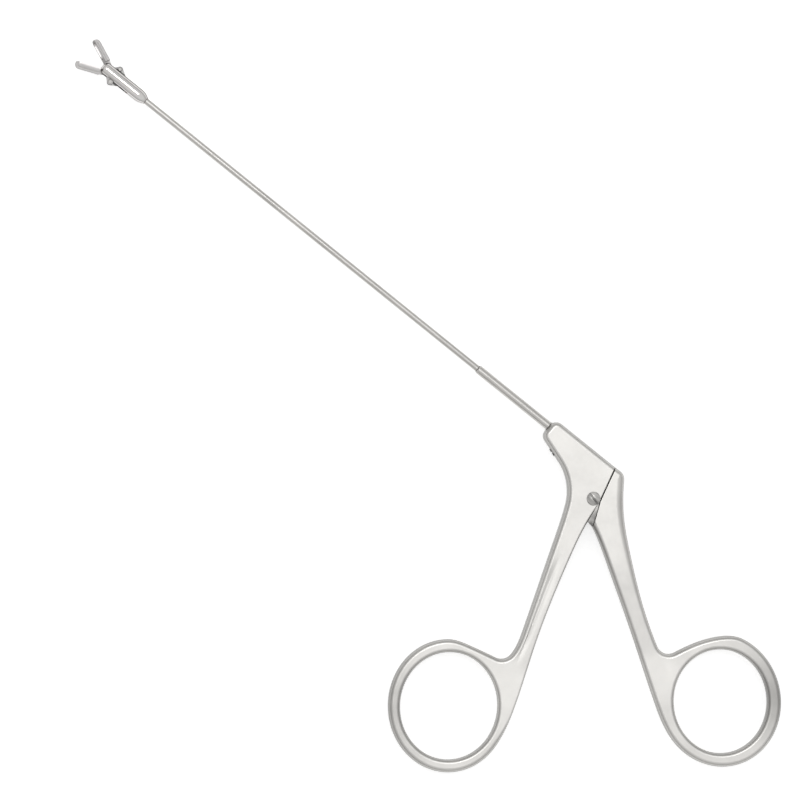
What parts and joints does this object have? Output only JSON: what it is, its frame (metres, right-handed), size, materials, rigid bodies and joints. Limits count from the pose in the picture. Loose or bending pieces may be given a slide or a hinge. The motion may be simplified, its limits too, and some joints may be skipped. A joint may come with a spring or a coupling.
{
  "type": "long-shaft biopsy forceps",
  "caption": "Steel instrument with ring handles, a long thin tube and small double-action cup jaws at its tip, lying on its side with the jaws open.",
  "frame": {"origin": "on the axis of the pivot screw, in the plane that the flat side of the handle joint lies on", "axes": "+X along the shaft away from the jaws, +Y away from the finger rings, +Z out of the side that faces up as the forceps lies"},
  "size_m": [0.2318, 0.0872, 0.0062],
  "materials": {
    "handle_steel": "satin, fine bead-blasted",
    "screw_steel": "turned and brushed along the slot",
    "shaft_steel": "ground, satin with a bright line",
    "tip_steel": "polished",
    "jaw_steel": "fine satin",
    "drive_steel": "machined",
    "pin_steel": "polished"
  },
  "bodies": {
    "front_body": {"front_handle": "handle_steel", "pivot_screw": "screw_steel", "set_screw": "screw_steel", "support_sleeve": "shaft_steel", "shaft_tube": "shaft_steel", "jaw_yoke": "tip_steel", "jaw_pin": "pin_steel"},
    "rear_body": {"rear_handle": "handle_steel"},
    "drive_body": {"drive_rod": "shaft_steel", "rod_clevis": "drive_steel", "drive_pin": "pin_steel", "rod_crosshead": "drive_steel", "link_pin": "pin_steel"},
    "upper_jaw_body": {"upper_jaw": "jaw_steel", "upper_jaw_tail_pin": "pin_steel"},
    "lower_jaw_body": {"lower_jaw": "jaw_steel", "lower_jaw_tail_pin": "pin_steel"},
    "upper_link_body": {"upper_link": "jaw_steel"},
    "lower_link_body": {"lower_link": "jaw_steel"}
  },
  "joints": [
    {"name": "handle_pivot", "type": "hinge", "parent": "front_body", "child": "rear_body", "pos_m": [0, 0, 0.0028], "axis": [0, 0, -1], "range_deg": [0, 8.24]},
    {"name": "rod_slide", "type": "slide", "parent": "front_body", "child": "drive_body", "axis": [1, 0, 0], "range_m": [0, 0.00102]},
    {"name": "upper_jaw_pivot", "type": "hinge", "parent": "front_body", "child": "upper_jaw_body", "pos_m": [-0.15425, 0.00695, 0.0028], "axis": [0, 0.2419, 0.9703], "range_deg": [0, 23.4]},
    {"name": "lower_jaw_pivot", "type": "hinge", "parent": "front_body", "child": "lower_jaw_body", "pos_m": [-0.15425, 0.00695, 0.0028], "axis": [0, 0.2419, 0.9703], "range_deg": [-23.4, 0]},
    {"name": "upper_link_pivot", "type": "hinge", "parent": "drive_body", "child": "upper_link_body", "pos_m": [-0.14942, 0.00695, 0.0028], "axis": [0, 0.2419, 0.9703], "range_deg": [0, 13.44]},
    {"name": "lower_link_pivot", "type": "hinge", "parent": "drive_body", "child": "lower_link_body", "pos_m": [-0.14942, 0.00695, 0.0028], "axis": [0, 0.2419, 0.9703], "range_deg": [-13.44, 0]}
  ],
  "couplings": [
    {"joint": "rod_slide", "follows": "handle_pivot", "m_per_rad": 0.0071027},
    {"joint": "upper_jaw_pivot", "follows": "handle_pivot", "ratio": 2.8395},
    {"joint": "lower_jaw_pivot", "follows": "handle_pivot", "ratio": -2.8395},
    {"joint": "upper_link_pivot", "follows": "handle_pivot", "ratio": 1.6311},
    {"joint": "lower_link_pivot", "follows": "handle_pivot", "ratio": -1.6311}
  ]
}
